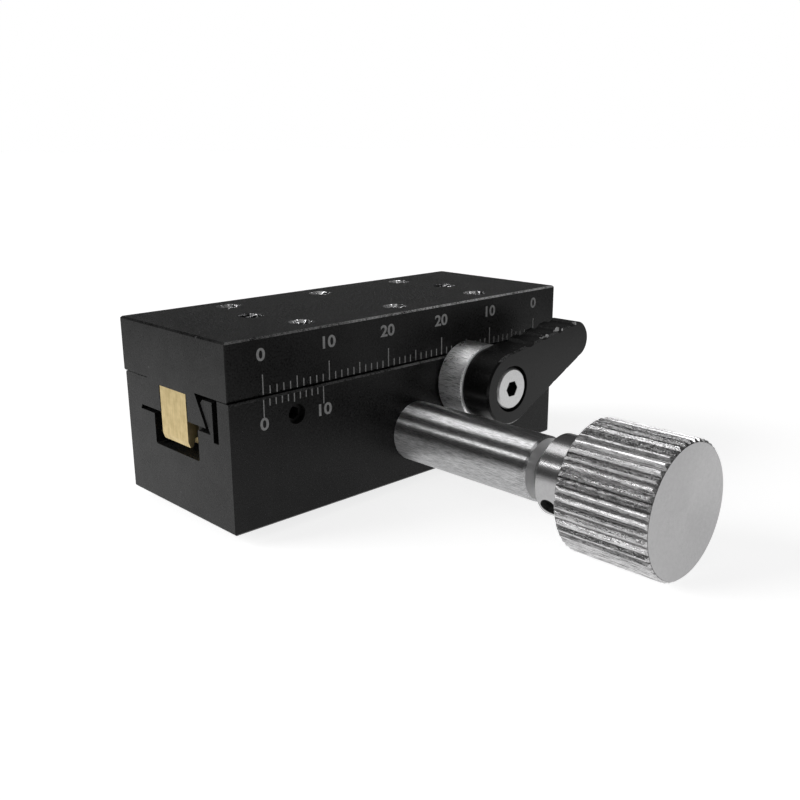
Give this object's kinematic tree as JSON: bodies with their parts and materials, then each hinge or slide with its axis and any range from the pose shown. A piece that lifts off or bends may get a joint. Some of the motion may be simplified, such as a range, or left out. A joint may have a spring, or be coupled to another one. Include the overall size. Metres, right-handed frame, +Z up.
{
  "type": "linear translation stage",
  "caption": "Small dovetail translation stage moved by a rack and pinion, with a knurled knob on a side sleeve, a clamp lever and a vernier scale.",
  "frame": {"origin": "centre of the base's underside, midway between the two mounting holes", "axes": "+X along the travel, to the right seen from the scale; -Y to the front, where scale, clamp and knob are; +Z up"},
  "size_m": [0.06, 0.0651, 0.0247],
  "materials": {
    "black_anodised": "black anodised, fine matt",
    "rack_brass": "milled brass",
    "bush_bronze": "turned bronze",
    "turned_steel": "turned, bright",
    "screw_steel": "plain steel"
  },
  "bodies": {
    "base_body": {"base": "black_anodised", "sleeve_tube": "turned_steel", "sleeve_set_screw": "screw_steel", "inner_bush": "bush_bronze", "front_bush": "bush_bronze", "rear_bush": "bush_bronze", "gib_screws": "screw_steel"},
    "table_body": {"table": "black_anodised", "rack": "rack_brass", "rack_screws": "screw_steel", "stop_pins": "screw_steel"},
    "drive_body": {"drive_shaft": "turned_steel", "pinion": "bush_bronze", "pinion_pin": "screw_steel", "knob": "turned_steel", "knob_set_screw": "screw_steel", "thrust_washer": "bush_bronze"},
    "clamp_body": {"clamp_screw": "turned_steel", "clamp_pad": "bush_bronze", "clamp_lever": "black_anodised", "lever_screw": "screw_steel"}
  },
  "joints": [
    {"name": "table_slide", "type": "slide", "parent": "base_body", "child": "table_body", "axis": [1, 0, 0], "range_m": [-0.025, 0.025]},
    {"name": "knob_turn", "type": "hinge", "parent": "base_body", "child": "drive_body", "pos_m": [0, 0, 0.0067], "axis": [0, 1, 0], "range_deg": [-520.9, 520.9]},
    {"name": "clamp_turn", "type": "hinge", "parent": "base_body", "child": "clamp_body", "pos_m": [0.0095, -0.0165, 0.01244], "axis": [0, -1, 0], "range_deg": [-30, 60]}
  ],
  "couplings": [
    {"joint": "knob_turn", "follows": "table_slide", "rad_per_m": 363.64}
  ]
}
